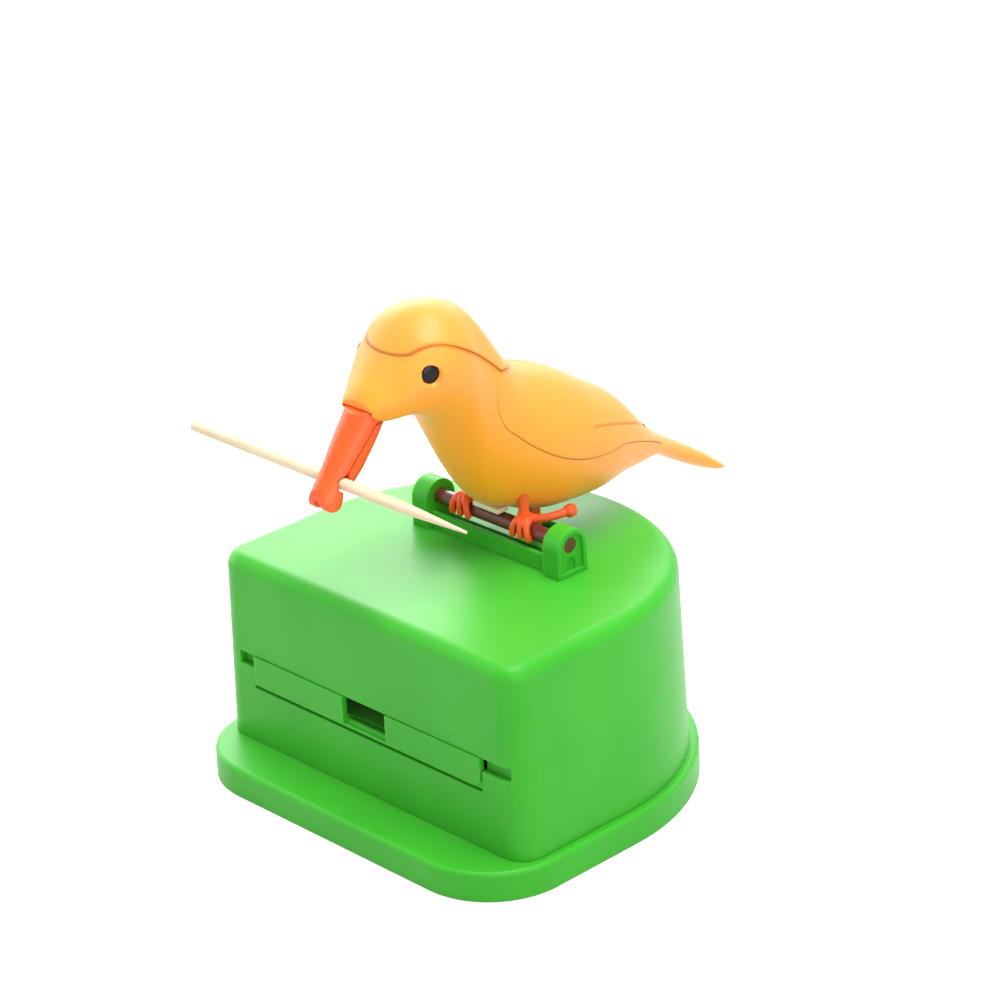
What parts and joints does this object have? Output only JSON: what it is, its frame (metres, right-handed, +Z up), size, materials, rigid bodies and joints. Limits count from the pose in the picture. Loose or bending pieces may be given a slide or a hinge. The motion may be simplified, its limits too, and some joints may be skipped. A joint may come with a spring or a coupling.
{
  "type": "toothpick dispenser",
  "caption": "Table-top toothpick dispenser: a hopper box with a front flap and a bird on a perch that tips forward to bring out a toothpick in its beak.",
  "frame": {"origin": "on the flat underside, on the mid-plane, below the centre of the housing's round back", "axes": "+X to the object's left as the bird looks forward, which is the viewer's right from the front; -Y out of the front with the ledge and the flap; +Z up"},
  "size_m": [0.0764, 0.0958, 0.0876],
  "materials": {
    "green_plastic": "glossy apple green",
    "yellow_plastic": "semi-gloss amber yellow",
    "orange_plastic": "semi-gloss orange",
    "rod_plastic": "glossy dark red-brown",
    "pale_plastic": "matte cream",
    "black_gloss": "glossy black",
    "pick_wood": "plain birch",
    "bright_steel": "zinc plated"
  },
  "bodies": {
    "base": {"base_plate": "green_plastic", "hopper_tray": "green_plastic", "toothpick_stock": "pick_wood", "tray_screws": "bright_steel"},
    "housing": {"cover": "green_plastic", "perch_bracket": "green_plastic", "perch_rod": "rod_plastic", "bracket_screws": "bright_steel", "return_spring": "bright_steel"},
    "flap": {"front_flap": "green_plastic"},
    "bird": {"bird_shell_left": "yellow_plastic", "bird_shell_right": "yellow_plastic", "crown_cap": "yellow_plastic", "wing_left": "yellow_plastic", "wing_right": "yellow_plastic", "eye_left": "black_gloss", "eye_right": "black_gloss", "beak_upper": "orange_plastic", "beak_lower": "orange_plastic", "leg_saddle": "orange_plastic", "foot_left": "orange_plastic", "foot_right": "orange_plastic", "belly_plate": "pale_plastic"},
    "toothpick": {"toothpick_held": "pick_wood"}
  },
  "joints": [
    {"name": "cover_lift", "type": "slide", "parent": "base", "child": "housing", "axis": [0, 0, 1], "range_m": [0, 0.035]},
    {"name": "flap_open", "type": "hinge", "parent": "housing", "child": "flap", "pos_m": [0, -0.0231, 0.0169], "axis": [1, 0, 0], "range_deg": [0, 28]},
    {"name": "bird_peck", "type": "hinge", "parent": "housing", "child": "bird", "pos_m": [0, 0.008, 0.0445], "axis": [1, 0, 0], "range_deg": [0, 57], "stiffness_Nm_per_rad": 0.004, "springref_deg": -17.19, "deforming": ["return_spring"]},
    {"name": "toothpick_slide", "type": "slide", "parent": "bird", "child": "toothpick", "axis": [-1, 0, 0], "range_m": [0, 0.036]}
  ]
}
